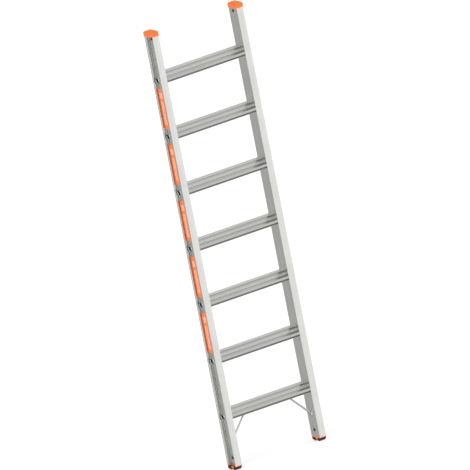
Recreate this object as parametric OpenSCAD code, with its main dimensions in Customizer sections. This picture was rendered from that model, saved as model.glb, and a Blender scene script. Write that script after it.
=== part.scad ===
// Leaning step ladder: two aluminium stiles, seven flat treads, plastic caps and feet.
// Frame: X to the right, Y to the back, Z up along the stiles; Z = 0 is the sole plane.
// The treads slope down to the front, so that they lie level when the ladder leans.

/* [Overall] */
// Width across the outside of both stiles
ladder_w = 467; // [420:1:600]
// Distance from one tread to the next along the stiles
tread_pitch = 250; // [230:1:280]
// Rear edge of the bottom tread above the lower end of the stiles
bottom_gap = 244.5; // [230:0.5:300]
// Upper end of the stiles above the rear edge of the top tread
top_gap = 169.3; // [120:0.1:320]
// Slope of the treads, which is 90 degrees less the leaning angle
tread_slope = 20; // [17:0.5:21]

/* [Stiles] */
// Width of a stile, seen from the front
stile_w = 32; // [30:0.5:40]
// Depth of a stile, from front to back
stile_d = 66; // [64:0.5:70]
// Depth of the channel along the outside of a stile
channel_d = 13.3; // [8:0.1:14]
// Thickness of the two lips beside the channel
lip_t = 2.6; // [2:0.1:4]
// Diameter of the round bead along the end of each lip
lip_bead = 6.4; // [4:0.1:8]
// Wall thickness of the two broad walls of a stile
web_t = 1.6; // [1.2:0.1:2.4]
// Wall thickness of the front and rear walls of a stile
flange_t = 2.2; // [1.5:0.1:3]

/* [Treads] */
// Outer diameter of the two tubes in a tread
tube_od = 23; // [22:0.5:24.5]
// Wall thickness of the tubes
tube_wall = 2.2; // [1.6:0.1:2.6]
// Distance of the front tube's axis from the front plane
tube_front = 17; // [16.5:0.5:18]
// Distance of the rear tube's axis from the front plane
tube_rear = 49; // [46:0.5:50]
// Depth of the tubes' axes below the tread's rear edge
tube_drop = 33; // [32:0.5:35]
// Outer diameter of the flared ends of the tubes
flare_od = 27.6; // [26:0.1:28]
// Height of the nose along the front of a tread
nose_h = 10; // [8:0.5:11]
// Height of the anti-slip ribs above the grooves
rib_h = 1.6; // [1:0.1:2.2]

/* [Caps and feet] */
// Height of a top cap above the end of its stile
cap_h = 23.4; // [18:0.1:28]
// Amount that a cap stands out round its stile
cap_over = 3.7; // [1:0.1:4]
// Height of a foot below the end of its stile
foot_h = 17.5; // [16:0.5:26]
// Depth that a foot's plug reaches into its stile
foot_plug = 48; // [40:1:60]
// Depth that a cap's plug reaches into its stile
cap_plug = 26; // [20:1:40]

/* [Braces] */
// Diameter of the brace rods
rod_d = 8; // [6:0.5:9]
// Height of a brace's lower rivet above the end of the stile
brace_foot_z = 97.5; // [80:0.5:110]
// Distance of a brace's upper end from the stile
brace_reach = 94; // [70:1:105]

/* [Labels] */
// Length of a label
label_l = 178; // [150:1:184]
// Width of a label
label_w = 31; // [20:0.5:33]
// Distance of a label's rear edge from the rear plane
label_rear = 4.5; // [3.5:0.5:10]
// Thickness of a label
label_t = 0.3; // [0.2:0.05:0.5]

/* [Hidden] */
$fn = 64;

tread_count = 7;
aluminium = [0.78, 0.79, 0.79];
tread_grey = [0.70, 0.71, 0.70];
orange = [1.0, 0.45, 0.16];
rubber = [0.10, 0.10, 0.10];
steel = [0.62, 0.63, 0.64];

// heights
stile_z0 = foot_h;
stile_len = bottom_gap + (tread_count - 1) * tread_pitch + top_gap;
stile_z1 = stile_z0 + stile_len;

// stile section, from the inner face outwards
x_out = ladder_w / 2;
x_in = x_out - stile_w;
x_web = x_out - channel_d;
y_front = -stile_d / 2;
y_rear = stile_d / 2;
edge_r = 1;
chamber_r = 0.8;
fillet_r = 0.6;

// running clearance between a tube or rivet and its hole
fit_gap = 0.15;
eps = 0.5;

// tread section: y to the back, z up from the rear edge
tread_l = 2 * x_in;
slope_len = stile_d / cos(tread_slope);
nose_top = -stile_d * tan(tread_slope);
tube_r = tube_od / 2;
tube_bore_r = tube_r - tube_wall;
tube_ys = [y_front + tube_front, y_front + tube_rear];
deck_t = 2;
nose_t = 2.4;
skin_t = 2.2;
floor_sink = 1.7;
tread_bottom = -tube_drop - tube_r - floor_sink;
tooth_h = 0.7;
tooth_pitch = 2.6;
tooth_top = 1.1;
tooth_foot = 2.2;
rib_root = 0.4;
edge_in = 0.4;
// the rear wall: its slanted top, and the knee from which it turns in to the floor
wall_top = -1.5;
wall_top_in = -3;
wall_knee = -13;
wall_foot = 0.4;
// the ribs as [distance along the slope from the nose, width]
rib_front = 4.7;
rib_mid = 18.6;
rib_rear = 18.9;
groove_front = 14;
ribs = [
    [0, rib_front],
    [rib_front + groove_front, rib_mid],
    [slope_len - rib_rear, rib_rear]
];
// lower and upper end of the web over the rear tube
web_lap = 1;
web_z0 = tube_r - tube_drop - web_lap;
web_z1 = -(y_rear - tube_ys[1]) * tan(tread_slope) - (rib_h + deck_t / 2) / cos(tread_slope);
bead_gap = 0.3;
bead_r = (flare_od / 2 - tube_bore_r - bead_gap) / 2;
bead_rise = 0.9;

// rivets
eyelet_od = 14;
eyelet_shank = 10.6;
eyelet_bore = 9;
eyelet_head = 0.9;
cap_rivet_drop = 13.5;
foot_rivet_rise = 31.5;
rivet_shank = 5;
rivet_head_d = 10;
rivet_head_h = 1.6;
rivet_tail_d = 7;
rivet_tail_top_d = 4;
rivet_tail_h = 3;
rivet_lap = 0.2;

// caps and feet
plug_gap = 0.25;
plug_wall = 2.4;
cap_corner_r = 9.5;
cap_end_r = 20;
cap_side_r = 11.5;
foot_flange_t = 3;
foot_corner_r = 2.5;
foot_over = 0.3;
arch_z = 5.5;
pad_inset = 0.6;
heel_slope = 20;
// places along the foot, from the front plane
toe_face = 1;
toe_edge = 12;
toe_end = 23;
heel_start = 37;
heel_edge = 50;
toe_chamfer_z = 11;
heel_r = 6;
heel_sink = 2;

// braces: each lug's hole from front to back, and the rod's end beyond the hole
brace_top_y = 13;
brace_low_y = 4;
tab_w = 16;
tab_t = 3;
tab_l = 12;
rod_start = 10;
brace_top_z = stile_z0 + bottom_gap + tread_bottom;
brace_low_z = stile_z0 + brace_foot_z;

// Z of the rear edge of tread i, counted from 1 at the bottom
function tread_z(i) = stile_z0 + bottom_gap + (i - 1) * tread_pitch;

// Rectangle between two corners with four round corners
module round_box_2d(x0, y0, x1, y1, r) {
    translate([x0 + r, y0]) square([x1 - x0 - 2 * r, y1 - y0]);
    translate([x0, y0 + r]) square([x1 - x0, y1 - y0 - 2 * r]);
    for (x = [x0 + r, x1 - r], y = [y0 + r, y1 - r]) translate([x, y]) circle(r);
}

// Cylinder along X from x0 to x1
module rod_x(x0, x1, y, z, d) {
    translate([x0, y, z]) rotate([0, 90, 0]) cylinder(h = x1 - x0, d = d);
}

// A child drawn for the right-hand side (+X), or its mirror image for the left
module on_side(side) {
    if (side > 0) children();
    else mirror([1, 0, 0]) children();
}

// ---- stiles ----

// Inside fillet in the corner at (0, 0), filling towards +x and +y
module fillet_2d(r) {
    difference() {
        square([r, r]);
        translate([r, r]) circle(r);
    }
}

module stile_section() {
    y_lip = stile_d / 2 - lip_t;
    difference() {
        round_box_2d(x_in, y_front, x_out, y_rear, edge_r);
        translate([x_web, -y_lip]) square([channel_d + eps, 2 * y_lip]);
        round_box_2d(x_in + web_t, y_front + flange_t, x_web - web_t, y_rear - flange_t, chamber_r);
    }
    translate([x_web, -y_lip]) fillet_2d(fillet_r);
    translate([x_web, y_lip]) mirror([0, 1]) fillet_2d(fillet_r);
    for (y = [y_front + lip_bead / 2, y_rear - lip_bead / 2])
        translate([x_out - lip_bead / 2, y]) circle(d = lip_bead);
}

module stile() {
    difference() {
        translate([0, 0, stile_z0]) linear_extrude(stile_len) stile_section();
        for (i = [1 : tread_count], y = tube_ys)
            rod_x(x_in - eps, x_web + eps, y, tread_z(i) - tube_drop, tube_od + 2 * fit_gap);
        rod_x(x_in - eps, x_web + eps, 0, stile_z1 - cap_rivet_drop, eyelet_shank + 2 * fit_gap);
        rod_x(x_in - eps, x_web + eps, 0, stile_z0 + foot_rivet_rise, eyelet_shank + 2 * fit_gap);
        rod_x(x_in - eps, x_in + web_t + eps, brace_low_y, brace_low_z, rivet_shank + 2 * fit_gap);
    }
}

module stile_left() {
    color(aluminium) on_side(-1) stile();
}

module stile_right() {
    color(aluminium) on_side(1) stile();
}

// ---- treads ----

// One anti-slip rib: a low bar with fine teeth along its top
module rib_2d(width) {
    teeth = round(width / tooth_pitch);
    step = width / teeth;
    translate([0, -rib_root]) square([width, rib_h - tooth_h + rib_root]);
    for (i = [0 : teeth - 1])
        translate([(i + 0.5) * step, rib_h - tooth_h]) polygon([
            [-tooth_foot / 2, -rib_root], [tooth_foot / 2, -rib_root], [tooth_foot / 2, 0],
            [tooth_top / 2, tooth_h], [-tooth_top / 2, tooth_h], [-tooth_foot / 2, 0]
        ]);
}

// Section of a tread without its two tubes
module tread_section() {
    // sloping deck with its ribs; its own axes start at the nose
    intersection() {
        translate([y_front, nose_top]) rotate(tread_slope) {
            translate([edge_in, -rib_h - deck_t]) square([slope_len, deck_t]);
            for (r = ribs) translate([r[0] + edge_in, -rib_h]) rib_2d(r[1] - 2 * edge_in);
        }
        translate([y_front, nose_top - nose_h]) square([stile_d, nose_h - nose_top]);
    }
    // nose along the front edge, round at both ends
    translate([y_front, nose_top - nose_h + nose_t / 2]) square([nose_t, nose_h - nose_t]);
    for (z = [nose_top - nose_t / 2, nose_top - nose_h + nose_t / 2])
        translate([y_front + nose_t / 2, z]) circle(d = nose_t);
    // floor, rear wall and the web over the rear tube
    rear_y = tube_ys[1] + tube_r;
    translate([tube_ys[0], tread_bottom]) square([tube_ys[1] - tube_ys[0], skin_t]);
    polygon([
        [y_rear - skin_t, wall_top_in], [y_rear, wall_top], [y_rear, wall_knee],
        [rear_y + wall_foot, tread_bottom], [tube_ys[1], tread_bottom],
        [tube_ys[1], tread_bottom + skin_t], [rear_y - skin_t, tread_bottom + skin_t],
        [y_rear - skin_t, wall_knee]
    ]);
    translate([tube_ys[1] - skin_t / 2, web_z0]) square([skin_t, web_z1 - web_z0]);
}

// Rolled rim that locks a tube's end over the stile, at the tube's own axis
module flare() {
    r = tube_bore_r + bead_gap + bead_r;
    rotate([0, 90, 0]) rotate_extrude() intersection() {
        translate([r, bead_rise]) circle(bead_r);
        translate([r - bead_r, 0]) square([2 * bead_r, bead_rise + bead_r]);
    }
}

module tread(i) {
    color(tread_grey) translate([0, 0, tread_z(i)]) difference() {
        union() {
            rotate([90, 0, 90]) translate([0, 0, -tread_l / 2]) linear_extrude(tread_l) tread_section();
            for (y = tube_ys) {
                rod_x(-x_web - bead_rise, x_web + bead_rise, y, -tube_drop, tube_od);
                for (side = [-1, 1]) on_side(side) translate([x_web, y, -tube_drop]) flare();
            }
        }
        for (y = tube_ys) rod_x(-x_out, x_out, y, -tube_drop, 2 * tube_bore_r);
        if (i == 1) for (side = [-1, 1]) translate([side * (x_in - brace_reach), brace_top_y, tread_bottom]) {
            translate([0, 0, -eps]) cylinder(h = skin_t + 2 * eps, d = rivet_shank + 2 * fit_gap);
            translate([0, 0, skin_t]) cylinder(h = tube_r, d = rivet_tail_d + 2 * fit_gap);
        }
    }
}

// ---- caps ----

// Plug that fits inside the chamber of a stile, from z0 to z1, open at one end
module plug(z0, z1, rivet_z, open_up) {
    g = plug_gap;
    wall = plug_wall;
    floor_z0 = open_up ? z0 + wall : z0 - eps;
    floor_z1 = open_up ? z1 + eps : z1 - wall;
    x0 = x_in + web_t + g;
    x1 = x_web - web_t - g;
    y1 = stile_d / 2 - flange_t - g;
    difference() {
        translate([0, 0, z0]) linear_extrude(z1 - z0) round_box_2d(x0, -y1, x1, y1, chamber_r);
        translate([x0 + wall, wall - y1, floor_z0])
            cube([x1 - x0 - 2 * wall, 2 * (y1 - wall), floor_z1 - floor_z0]);
        rod_x(x_in, x_web, 0, rivet_z, eyelet_shank + 2 * fit_gap);
    }
}

// Domed outline from 0 to height h: straight sides, round shoulders of radius r, level crown
module dome_2d(x0, x1, h, r) {
    translate([x0, 0]) square([x1 - x0, h - r]);
    translate([x0 + r, 0]) square([x1 - x0 - 2 * r, h]);
    intersection() {
        translate([x0, 0]) square([x1 - x0, h]);
        for (x = [x0 + r, x1 - r]) translate([x, h - r]) circle(r);
    }
}

module cap() {
    o = cap_over;
    x0 = x_in - o;
    x1 = x_out + o;
    y1 = stile_d / 2 + o;
    translate([0, 0, stile_z1]) intersection() {
        linear_extrude(cap_h) round_box_2d(x0, -y1, x1, y1, cap_corner_r);
        rotate([90, 0, 90]) translate([0, 0, x0]) linear_extrude(x1 - x0)
            dome_2d(-y1, y1, cap_h, cap_end_r);
        translate([0, y1, 0]) rotate([90, 0, 0]) linear_extrude(2 * y1)
            dome_2d(x0, x1, cap_h, cap_side_r);
    }
    plug(stile_z1 - cap_plug, stile_z1 + eps, stile_z1 - cap_rivet_drop, false);
}

module cap_left() {
    color(orange) on_side(-1) cap();
}

module cap_right() {
    color(orange) on_side(1) cap();
}

// ---- feet ----

// Side outlines of the two rubber pads, y to the back and z up
module toe_2d() {
    top = foot_h - foot_flange_t;
    polygon([
        [y_front + toe_face, top], [y_front + toe_face, toe_chamfer_z], [y_front + toe_edge, 0],
        [y_front + toe_end, 0], [y_front + toe_end, top]
    ]);
}

module heel_2d() {
    top = foot_h - foot_flange_t;
    y_end = y_rear - pad_inset;
    y_knee = y_front + heel_edge;
    rise = (y_end - y_knee) * tan(heel_slope);
    difference() {
        polygon([
            [y_front + heel_start, 0], [y_knee, 0], [y_end, rise],
            [y_end, top], [y_front + heel_start, top]
        ]);
        translate([y_end - heel_r, rise + heel_r - heel_sink]) difference() {
            translate([0, -2 * heel_r]) square(2 * heel_r);
            circle(heel_r);
        }
    }
}

module pad(x_gap) {
    rotate([90, 0, 90]) translate([0, 0, x_in + x_gap]) linear_extrude(stile_w - 2 * x_gap) children();
}

module foot() {
    top = foot_h - foot_flange_t;
    o = foot_over;
    y_notch = stile_d / 2 - lip_bead;
    // flange under the stile, left open under the stile's outer channel
    translate([0, 0, top]) linear_extrude(foot_flange_t) difference() {
        round_box_2d(x_in - o, y_front - o, x_out + o, y_rear + o, foot_corner_r);
        translate([x_web, -y_notch]) square([channel_d + o + eps, 2 * y_notch]);
    }
    translate([x_in + pad_inset, y_front + toe_end, arch_z])
        cube([stile_w - 2 * pad_inset, heel_start - toe_end, top - arch_z + eps]);
    plug(stile_z0 - eps, stile_z0 + foot_plug, stile_z0 + foot_rivet_rise, true);
}

module foot_left() {
    color(orange) on_side(-1) foot();
}

module foot_right() {
    color(orange) on_side(1) foot();
}

module foot_pad_front(side) {
    color(rubber) on_side(side) pad(pad_inset) toe_2d();
}

module foot_pad_rear(side) {
    color(rubber) on_side(side) pad(pad_inset) heel_2d();
}

// ---- braces ----

// Flat lug with round ends, in the XY plane, with its hole at the origin
module lug(length) {
    difference() {
        union() {
            translate([0, -tab_w / 2, 0]) cube([length, tab_w, tab_t]);
            cylinder(h = tab_t, d = tab_w);
        }
        translate([0, 0, -eps]) cylinder(h = tab_t + 2 * eps, d = rivet_shank + 2 * fit_gap);
    }
}

module brace() {
    top = [x_in - brace_reach, brace_top_y, brace_top_z - tab_t];
    low = [x_in - tab_t, brace_low_y, brace_low_z];
    rod_top = top + [rod_start, 0, tab_t / 2];
    rod_low = low + [tab_t / 2, 0, rod_start];
    run = rod_top - rod_low;
    // upper lug under the tread and lower lug on the stile
    translate(top) lug(tab_l);
    translate(low) rotate([0, 90, 0]) mirror([1, 0, 0]) lug(tab_l);
    // rod between them, cut off flush with the stile and the tread
    intersection() {
        translate(rod_low) rotate([0, acos(run[2] / norm(run)), atan2(run[1], run[0])])
            translate([0, 0, -rod_d]) cylinder(h = norm(run) + 2 * rod_d, d = rod_d);
        translate([x_in - brace_reach, brace_low_y - rod_d, brace_low_z])
            cube([brace_reach, brace_top_y - brace_low_y + 2 * rod_d, brace_top_z - brace_low_z]);
    }
}

module brace_left() {
    color(steel) on_side(-1) brace();
}

module brace_right() {
    color(steel) on_side(1) brace();
}

// ---- rivets ----

// Hollow rivet through both broad walls of a stile, at height z
module eyelet(z) {
    difference() {
        union() {
            rod_x(x_in, x_web, 0, z, eyelet_shank);
            rod_x(x_in - eyelet_head, x_in, 0, z, eyelet_od);
            rod_x(x_web, x_web + eyelet_head, 0, z, eyelet_od);
        }
        rod_x(x_in - eyelet_head - eps, x_web + eyelet_head + eps, 0, z, eyelet_bore);
    }
}

// Dome rivet with its head below z = 0 and its tail above the grip
module dome_rivet(grip) {
    head_r = (rivet_head_d * rivet_head_d / 4 + rivet_head_h * rivet_head_h) / (2 * rivet_head_h);
    intersection() {
        translate([0, 0, head_r - rivet_head_h]) sphere(head_r);
        translate([0, 0, -rivet_head_h]) cylinder(h = rivet_head_h, d = rivet_head_d);
    }
    cylinder(h = grip + rivet_lap, d = rivet_shank);
    translate([0, 0, grip]) cylinder(h = rivet_tail_h, d1 = rivet_tail_d, d2 = rivet_tail_top_d);
}

module cap_rivets() {
    color(steel) for (side = [-1, 1]) on_side(side) eyelet(stile_z1 - cap_rivet_drop);
}

module foot_rivets() {
    color(steel) for (side = [-1, 1]) on_side(side) eyelet(stile_z0 + foot_rivet_rise);
}

module brace_rivets() {
    color(steel) for (side = [-1, 1]) on_side(side) {
        translate([x_in - tab_t, brace_low_y, brace_low_z]) rotate([0, 90, 0]) dome_rivet(tab_t + web_t);
        translate([x_in - brace_reach, brace_top_y, brace_top_z - tab_t]) dome_rivet(tab_t + skin_t);
    }
}

// ---- labels ----

// Film label in the outer channel of the left stile, between treads i and i + 1
module label(i) {
    z_mid = tread_z(i) - tube_drop + tread_pitch / 2;
    color(orange) translate([-x_web - label_t, y_rear - label_rear - label_w, z_mid - label_l / 2])
        cube([label_t, label_w, label_l]);
}

stile_left();
stile_right();
tread(1);  // tread_1
tread(2);  // tread_2
tread(3);  // tread_3
tread(4);  // tread_4
tread(5);  // tread_5
tread(6);  // tread_6
tread(7);  // tread_7
cap_left();
cap_right();
foot_left();
foot_right();
foot_pad_front(-1);  // foot_pad_front_left
foot_pad_front(1);  // foot_pad_front_right
foot_pad_rear(-1);  // foot_pad_rear_left
foot_pad_rear(1);  // foot_pad_rear_right
brace_left();
brace_right();
cap_rivets();
foot_rivets();
brace_rivets();
label(2);  // label_1
label(3);  // label_2
label(4);  // label_3
label(5);  // label_4
label(6);  // label_5
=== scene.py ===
"""Leaning step ladder: materials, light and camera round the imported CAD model.

Metres throughout. X to the right, Y to the back, Z up along the stiles.
"""

import math

import bpy
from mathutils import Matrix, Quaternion, Vector


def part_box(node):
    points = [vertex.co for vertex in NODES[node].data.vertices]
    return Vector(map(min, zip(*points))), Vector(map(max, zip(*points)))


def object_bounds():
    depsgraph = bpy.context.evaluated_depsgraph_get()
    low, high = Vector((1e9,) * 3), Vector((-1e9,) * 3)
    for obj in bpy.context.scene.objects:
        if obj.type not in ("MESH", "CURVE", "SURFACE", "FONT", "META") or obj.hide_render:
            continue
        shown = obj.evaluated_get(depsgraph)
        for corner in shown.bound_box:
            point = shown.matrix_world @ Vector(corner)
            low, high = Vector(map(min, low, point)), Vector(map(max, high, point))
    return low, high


MM = 0.001

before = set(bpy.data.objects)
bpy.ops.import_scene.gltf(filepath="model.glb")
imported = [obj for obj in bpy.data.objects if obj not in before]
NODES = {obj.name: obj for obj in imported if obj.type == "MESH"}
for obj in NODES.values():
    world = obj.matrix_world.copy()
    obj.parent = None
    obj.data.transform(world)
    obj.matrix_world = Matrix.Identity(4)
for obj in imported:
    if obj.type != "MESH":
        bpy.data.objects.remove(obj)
CAD_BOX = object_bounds()
LOW, HIGH = CAD_BOX
CENTRE = (LOW + HIGH) / 2


# ---- camera ----

AZIMUTH = math.radians(-30.5)
ELEVATION = math.radians(13.9)
ROLL = math.radians(11.0)
VIEW_WIDTH = 1.9975
CAMERA_DISTANCE = 8.0


def make_camera():
    """A parallel projection, because parallel edges stay parallel in the picture."""
    data = bpy.data.cameras.new("camera")
    data.type = "ORTHO"
    data.ortho_scale = VIEW_WIDTH
    data.clip_end = 10 * CAMERA_DISTANCE
    camera = bpy.data.objects.new("camera", data)
    bpy.context.scene.collection.objects.link(camera)
    back = Vector((
        math.sin(AZIMUTH) * math.cos(ELEVATION),
        -math.cos(AZIMUTH) * math.cos(ELEVATION),
        math.sin(ELEVATION),
    ))
    camera.location = CENTRE + back * CAMERA_DISTANCE
    camera.rotation_mode = "QUATERNION"
    level = (-back).to_track_quat("-Z", "Y")
    camera.rotation_quaternion = level @ Quaternion((0, 0, 1), -ROLL)
    bpy.context.scene.camera = camera


# ---- node helpers ----

class Shader:
    """A Principled material whose nodes are added with short calls."""

    def __init__(self, name, **values):
        self.material = bpy.data.materials.new(name)
        self.material.use_nodes = True
        self.tree = self.material.node_tree
        self.principled = self.tree.nodes["Principled BSDF"]
        for socket, value in values.items():
            self.principled.inputs[socket.replace("_", " ")].default_value = value
        self.place = self.add("ShaderNodeTexCoord").outputs["Object"]

    def add(self, kind, **settings):
        node = self.tree.nodes.new(kind)
        for name, value in settings.items():
            setattr(node, name, value)
        return node

    def link(self, source, target):
        """Feeds target from a socket, or sets it where source is a plain value."""
        if isinstance(source, bpy.types.NodeSocket):
            self.tree.links.new(source, target)
        else:
            target.default_value = source

    def set(self, socket, source):
        self.link(source, self.principled.inputs[socket])

    def noise(self, scale, detail=2.0, roughness=0.5, stretch=(1, 1, 1)):
        """Noise in object space. A small stretch value draws the pattern out along that axis."""
        mapping = self.add("ShaderNodeMapping")
        mapping.inputs["Scale"].default_value = stretch
        self.link(self.place, mapping.inputs["Vector"])
        node = self.add("ShaderNodeTexNoise")
        node.inputs["Scale"].default_value = scale
        node.inputs["Detail"].default_value = detail
        node.inputs["Roughness"].default_value = roughness
        self.link(mapping.outputs["Vector"], node.inputs["Vector"])
        return node.outputs["Fac"]

    def cells(self, scale):
        node = self.add("ShaderNodeTexVoronoi")
        node.inputs["Scale"].default_value = scale
        self.link(self.place, node.inputs["Vector"])
        return node.outputs["Color"]

    def axis(self, name):
        node = self.add("ShaderNodeSeparateXYZ")
        self.link(self.place, node.inputs["Vector"])
        return node.outputs[name]

    def math(self, operation, first, second=0.0, third=0.0):
        node = self.add("ShaderNodeMath", operation=operation)
        for source, target in zip((first, second, third), node.inputs):
            self.link(source, target)
        return node.outputs["Value"]

    def remap(self, value, low, high, to_low, to_high):
        node = self.add("ShaderNodeMapRange")
        names = ("Value", "From Min", "From Max", "To Min", "To Max")
        for name, source in zip(names, (value, low, high, to_low, to_high)):
            self.link(source, node.inputs[name])
        return node.outputs["Result"]

    def mix(self, factor, first, second):
        node = self.add("ShaderNodeMix", data_type="RGBA")
        for index, source in ((0, factor), (6, first), (7, second)):
            self.link(source, node.inputs[index])
        return node.outputs[2]

    def bump(self, height, depth, strength=1.0, normal=None):
        node = self.add("ShaderNodeBump")
        node.inputs["Strength"].default_value = strength
        node.inputs["Distance"].default_value = depth
        self.link(height, node.inputs["Height"])
        if normal is not None:
            self.link(normal, node.inputs["Normal"])
        return node.outputs["Normal"]

    def shut_in(self, reach):
        """1 on open surfaces, falling towards 0 in corners and holes within reach."""
        node = self.add("ShaderNodeAmbientOcclusion", samples=16, only_local=True)
        node.inputs["Distance"].default_value = reach
        return node.outputs["AO"]

    def tint(self, colour, factor):
        """The colour darkened by a factor between 0 and 1."""
        return self.mix(factor, grey(0.0), colour)


def grey(value):
    return (value, value, value, 1.0)


# ---- materials ----

STILE_TONE = 0.74
STILE_ROUGHNESS = 0.26
TREAD_TONE = 0.63
TREAD_ROUGHNESS = 0.28
BRACE_TONE = 0.78
BRACE_ROUGHNESS = 0.34
# Painted shade: the rivets get a very dark tone for the shade in and round them.
PAINTED_RIVET_SHADE_TONE = 0.18
RIVET_ROUGHNESS = 0.40
# Painted shade: colours are darkened towards the next tone in corners, slots and bores, within these
# reaches.
PAINTED_SHADE_TONE = 0.15
STILE_SHADE_REACH = 6 * MM
TREAD_SHADE_REACH = 2 * MM
PLASTIC_SHADE_REACH = 4 * MM
ZINC_SHADE_REACH = 2 * MM
TREAD_PITCH = 250 * MM
TREAD_SLOPE = math.radians(20)
# Painted shade in the tread grooves and on the nose fronts.
NOSE_BACK = -63.5 * MM
GROOVE_TOP = 0.6 * MM
GROOVE_BOTTOM = 1.4 * MM
PAINTED_GROOVE_SHADE_TONE = 0.76
PAINTED_NOSE_SHADE_TONE = 0.84
# Painted highlight: the tread tube ends get a lighter grey.
RING_FROM = 220.2 * MM
PAINTED_RING_HIGHLIGHT_TONE = 0.9

ORANGE = (0.93, 0.19, 0.028, 1.0)
LABEL_ORANGE = (1.0, 0.22, 0.045, 1.0)
LABEL_INK = (0.95, 0.88, 0.80, 1.0)
BAR_PITCH = 6 * MM
BAR_WIDTH = 1.7 * MM
BAR_ROW = 18 * MM
BAR_RUN = 104 * MM
BAR_AT = -20 * MM
BAR_SHIFT = 1 * MM
BAR_SLANT = 0.35
BLOCK_RUN = 26 * MM
BLOCK_AT = 58 * MM
BLOCK_INK = 0.4


def painted_corner_shade(shader, reach, low=0.2, high=0.7):
    """Painted shade: the colour darkened in corners, slots and bores, where light is lost."""
    return shader.remap(shader.shut_in(reach), low, high, PAINTED_SHADE_TONE, 1.0)


def painted_groove_shade(shader):
    """Painted shade between the ribs of the treads, by depth below the rib tops, and painted shade on
    the nose fronts.
    """
    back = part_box("tread_1")[1].y
    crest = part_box("tread_1")[1].z
    level = shader.math("SUBTRACT", shader.axis("Z"), crest)
    level = shader.math("WRAP", level, TREAD_PITCH / 2, -TREAD_PITCH / 2)
    run = shader.math("SUBTRACT", shader.axis("Y"), back)
    depth = shader.math("SUBTRACT", shader.math("MULTIPLY", run, math.sin(TREAD_SLOPE)),
                        shader.math("MULTIPLY", level, math.cos(TREAD_SLOPE)))
    low = shader.remap(depth, GROOVE_TOP, GROOVE_BOTTOM, 0.0, 1.0)
    on_deck = shader.math("GREATER_THAN", run, NOSE_BACK)
    groove = shader.remap(shader.math("MULTIPLY", low, on_deck), 0.0, 1.0, 1.0, PAINTED_GROOVE_SHADE_TONE)
    nose = shader.remap(on_deck, 0.0, 1.0, PAINTED_NOSE_SHADE_TONE, 1.0)
    return shader.math("MULTIPLY", groove, nose)


def ring_highlight_mask(shader):
    """1 on the tube ends, which are swaged over the outsides of the stiles; they get a painted
    highlight.
    """
    from_middle = shader.math("ABSOLUTE", shader.axis("X"))
    return shader.math("GREATER_THAN", from_middle, RING_FROM)


def extruded_aluminium(name, along, tone, roughness, grooved=False):
    """Mill-finish extrusion: fine die lines along one axis and faint handling marks.

    grooved is for the treads, with their ribs, noses and tube ends: painted shade in the grooves and on
    the nose fronts, and a painted highlight on the tube ends.
    """
    shader = Shader(name, Metallic=1.0)
    across = [1.0, 1.0, 1.0]
    across["XYZ".index(along)] = 0.004
    lines = shader.noise(1400, 3.0, 0.6, across)
    bands = shader.noise(90, 2.0, 0.5, across)
    marks = shader.noise(9, 4.0, 0.55)
    dark = (tone * 0.93, tone * 0.93, tone * 0.90, 1.0)
    light = (tone * 1.03, tone * 1.03, tone * 1.00, 1.0)
    colour = shader.mix(shader.remap(bands, 0.3, 0.7, 0.0, 1.0), dark, light)
    # Treads: painted shade in the grooves and on the nose fronts, and a painted highlight on the tube
    # ends.
    if grooved:
        colour = shader.tint(colour, painted_groove_shade(shader))
        colour = shader.mix(ring_highlight_mask(shader), colour, grey(PAINTED_RING_HIGHLIGHT_TONE))
        corners = painted_corner_shade(shader, TREAD_SHADE_REACH)
    else:
        corners = painted_corner_shade(shader, STILE_SHADE_REACH, 0.5, 0.88)
    # Painted shade darkens the colour in corners, slots and bores.
    shader.set("Base Color", shader.tint(colour, corners))
    rough = shader.remap(marks, 0.35, 0.7, roughness - 0.04, roughness + 0.06)
    streak = shader.remap(lines, 0.3, 0.7, -0.03, 0.03)
    shader.set("Roughness", shader.math("ADD", rough, streak))
    shader.set("Normal", shader.bump(lines, 0.02 * MM, 0.5))
    return shader.material


def moulded_plastic(name, colour):
    """Injection-moulded plastic with a fine spark-eroded grain."""
    shader = Shader(name, Specular_IOR_Level=0.3)
    grain = shader.noise(2600, 2.0, 0.6)
    clouds = shader.noise(35, 3.0, 0.5)
    deep = tuple(channel * 0.92 for channel in colour[:3]) + (1.0,)
    body = shader.mix(shader.remap(clouds, 0.35, 0.65, 0.0, 1.0), deep, colour)
    # Painted shade darkens the plastic in corners and holes.
    shader.set("Base Color", shader.tint(body, painted_corner_shade(shader, PLASTIC_SHADE_REACH)))
    shader.set("Roughness", shader.remap(grain, 0.3, 0.7, 0.38, 0.52))
    shader.set("Normal", shader.bump(grain, 0.03 * MM, 0.6))
    return shader.material


def moulded_rubber(name):
    """Matt black rubber with a fine pebble and a little dust."""
    shader = Shader(name)
    pebble = shader.noise(1500, 2.0, 0.5)
    dust = shader.noise(120, 4.0, 0.6)
    dusty = shader.remap(dust, 0.45, 0.75, 0.0, 1.0)
    shader.set("Base Color", shader.mix(dusty, grey(0.014), grey(0.035)))
    shader.set("Roughness", shader.remap(pebble, 0.3, 0.7, 0.62, 0.8))
    shader.set("Normal", shader.bump(pebble, 0.08 * MM, 0.7))
    return shader.material


def zinc_plate(name, tone, roughness):
    """Bright zinc plate with a faint crystal pattern and drawing marks."""
    shader = Shader(name, Metallic=1.0)
    crystals = shader.cells(420)
    haze = shader.noise(160, 3.0, 0.6)
    dark = (tone * 0.9, tone * 0.91, tone * 0.93, 1.0)
    light = (tone * 1.06, tone * 1.06, tone * 1.05, 1.0)
    plate = shader.mix(crystals, dark, light)
    # Painted shade darkens the plate in corners and bores.
    shader.set("Base Color", shader.tint(plate, painted_corner_shade(shader, ZINC_SHADE_REACH)))
    shader.set("Roughness", shader.remap(haze, 0.3, 0.7, roughness - 0.06, roughness + 0.08))
    shader.set("Normal", shader.bump(haze, 0.03 * MM, 0.5))
    return shader.material


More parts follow.
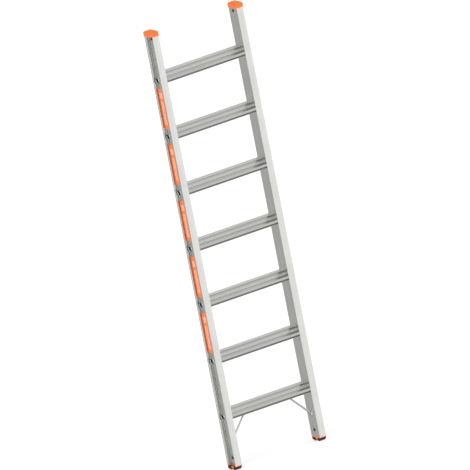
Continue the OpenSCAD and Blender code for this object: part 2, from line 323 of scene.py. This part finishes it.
def printed_label(name, node, colour, ink):
    """Orange film with a plain pale block near its top and a row of slanted bars below it."""
    low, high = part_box(node)
    middle = (low + high) / 2
    shader = Shader(name)
    along = shader.math("SUBTRACT", shader.axis("Z"), middle.z)
    along_bars = shader.math("SUBTRACT", along, BAR_AT)
    across = shader.math("SUBTRACT", shader.axis("Y"), middle.y)
    slanted = shader.math("ADD", along, shader.math("MULTIPLY", across, BAR_SLANT))
    phase = shader.math("PINGPONG", slanted, BAR_PITCH / 2)
    in_bar = shader.math("LESS_THAN", phase, BAR_WIDTH / 2)
    from_row = shader.math("ABSOLUTE", shader.math("ADD", across, BAR_SHIFT))
    in_row = shader.math("LESS_THAN", from_row, BAR_ROW / 2)
    in_length = shader.math("LESS_THAN", shader.math("ABSOLUTE", along_bars), BAR_RUN / 2)
    bars = shader.math("MULTIPLY", shader.math("MULTIPLY", in_bar, in_row), in_length)
    from_block = shader.math("ABSOLUTE", shader.math("SUBTRACT", along, BLOCK_AT))
    in_block = shader.math("MULTIPLY", shader.math("LESS_THAN", from_block, BLOCK_RUN / 2), in_row)
    printed = shader.math("MAXIMUM", bars, shader.math("MULTIPLY", in_block, BLOCK_INK))
    grain = shader.noise(900, 2.0, 0.5)
    film = tuple(channel * 0.95 for channel in colour[:3]) + (1.0,)
    base = shader.mix(shader.remap(grain, 0.3, 0.7, 0.0, 1.0), film, colour)
    shader.set("Base Color", shader.mix(printed, base, ink))
    shader.set("Roughness", shader.remap(grain, 0.3, 0.7, 0.34, 0.42))
    shader.set("Normal", shader.bump(shader.noise(60, 2.0, 0.5), 0.06 * MM, 0.4))
    return shader.material


def give(material, *names):
    """Puts one material on the whole of each named CAD node."""
    for name in names:
        slots = NODES[name].data.materials
        slots.clear()
        slots.append(material)


def nodes_starting(*starts):
    return [name for name in NODES if name.startswith(starts)]


def finish_surfaces():
    stiles = extruded_aluminium("stile_aluminium", "Z", STILE_TONE, STILE_ROUGHNESS)
    treads = extruded_aluminium("tread_aluminium", "X", TREAD_TONE, TREAD_ROUGHNESS, grooved=True)
    give(stiles, *nodes_starting("stile_"))
    give(treads, *nodes_starting("tread_"))
    give(moulded_plastic("orange_plastic", ORANGE), "cap_left", "cap_right", "foot_left", "foot_right")
    give(moulded_rubber("foot_rubber"), *nodes_starting("foot_pad_"))
    give(zinc_plate("brace_metal", BRACE_TONE, BRACE_ROUGHNESS), *nodes_starting("brace_"))
    # The rivets' very dark tone is painted shade.
    give(zinc_plate("rivet_metal", PAINTED_RIVET_SHADE_TONE, RIVET_ROUGHNESS), "cap_rivets", "foot_rivets")
    for name in nodes_starting("label_"):
        give(printed_label(name + "_film", name, LABEL_ORANGE, LABEL_INK), name)


# ---- light and floor ----

WORLD_MEAN = 0.885
WORLD_SLOPE = Vector((0.571, -0.074, -0.178))
WORLD_TOP = 1.28
WORLD_GAIN = 0.86
LOBE_FROM = Vector((-0.75, -0.65, 0.1)).normalized()
LOBE_GAIN = 1.25
LOBE_POWER = 4
FADE_FROM = -0.30
FADE_TO = -0.55
FADE_LEVEL = 0.3
LAMP_FROM = Vector((-0.85, -0.40, 0.35)).normalized()
LAMP_POWER = 1.3
LAMP_ANGLE = math.radians(50)
FLOOR_HALF = 60.0
FLOOR_GLOW = 0.57


def make_world():
    """Soft surrounding light: brightest at the right, a broad lamp at the front left, dim below."""
    world = bpy.data.worlds.new("studio")
    bpy.context.scene.world = world
    world.use_nodes = True
    tree = world.node_tree
    direction = tree.nodes.new("ShaderNodeTexCoord").outputs["Generated"]

    def value(kind, settings, *sources):
        node = tree.nodes.new(kind)
        for name, setting in settings.items():
            setattr(node, name, setting)
        for source, target in zip(sources, node.inputs):
            if isinstance(source, bpy.types.NodeSocket):
                tree.links.new(source, target)
            else:
                target.default_value = source
        return next(socket for socket in node.outputs if socket.type == "VALUE" and socket.enabled)

    def along(vector):
        return value("ShaderNodeVectorMath", {"operation": "DOT_PRODUCT"}, direction, vector)

    def math_node(operation, *sources):
        return value("ShaderNodeMath", {"operation": operation}, *sources)

    slope = math_node("MINIMUM", math_node("ADD", along(WORLD_SLOPE), WORLD_MEAN), WORLD_TOP)
    lobe = math_node("POWER", math_node("MAXIMUM", along(LOBE_FROM), 0.0), LOBE_POWER)
    level = math_node("MULTIPLY_ADD", lobe, LOBE_GAIN, slope)
    fade = value("ShaderNodeMapRange", {"interpolation_type": "SMOOTHSTEP"},
                 along(Vector((0, 0, 1))), FADE_TO, FADE_FROM, FADE_LEVEL, 1.0)
    strength = math_node("MULTIPLY", math_node("MULTIPLY", level, fade), WORLD_GAIN)
    background = tree.nodes["Background"]
    background.inputs["Color"].default_value = grey(1.0)
    tree.links.new(strength, background.inputs["Strength"])


def make_lamp():
    """Broad soft lamp from the front left. It lights plastic and rubber; the metal has the surround."""
    data = bpy.data.lights.new("lamp", "SUN")
    data.energy = LAMP_POWER
    data.angle = LAMP_ANGLE
    lamp = bpy.data.objects.new("lamp", data)
    bpy.context.scene.collection.objects.link(lamp)
    lamp.rotation_mode = "QUATERNION"
    lamp.rotation_quaternion = (-LAMP_FROM).to_track_quat("-Z", "Y")
    lamp.visible_glossy = False


def make_floor():
    """Plain pale floor under the feet, left out of the metal's reflections."""
    mesh = bpy.data.meshes.new("floor")
    z = LOW.z
    corners = [(-FLOOR_HALF, -FLOOR_HALF, z), (FLOOR_HALF, -FLOOR_HALF, z),
               (FLOOR_HALF, FLOOR_HALF, z), (-FLOOR_HALF, FLOOR_HALF, z)]
    mesh.from_pydata(corners, [], [(0, 1, 2, 3)])
    floor = bpy.data.objects.new("floor", mesh)
    bpy.context.scene.collection.objects.link(floor)
    shader = Shader("floor_paint", Roughness=0.9, Emission_Strength=FLOOR_GLOW)
    shader.set("Emission Color", grey(1.0))
    mottle = shader.noise(3, 3.0, 0.5)
    shader.set("Base Color", shader.mix(mottle, grey(0.55), grey(0.57)))
    mesh.materials.append(shader.material)
    floor.visible_glossy = False


make_camera()
finish_surfaces()
make_world()
make_lamp()
make_floor()
bpy.context.scene.view_settings.view_transform = "Standard"
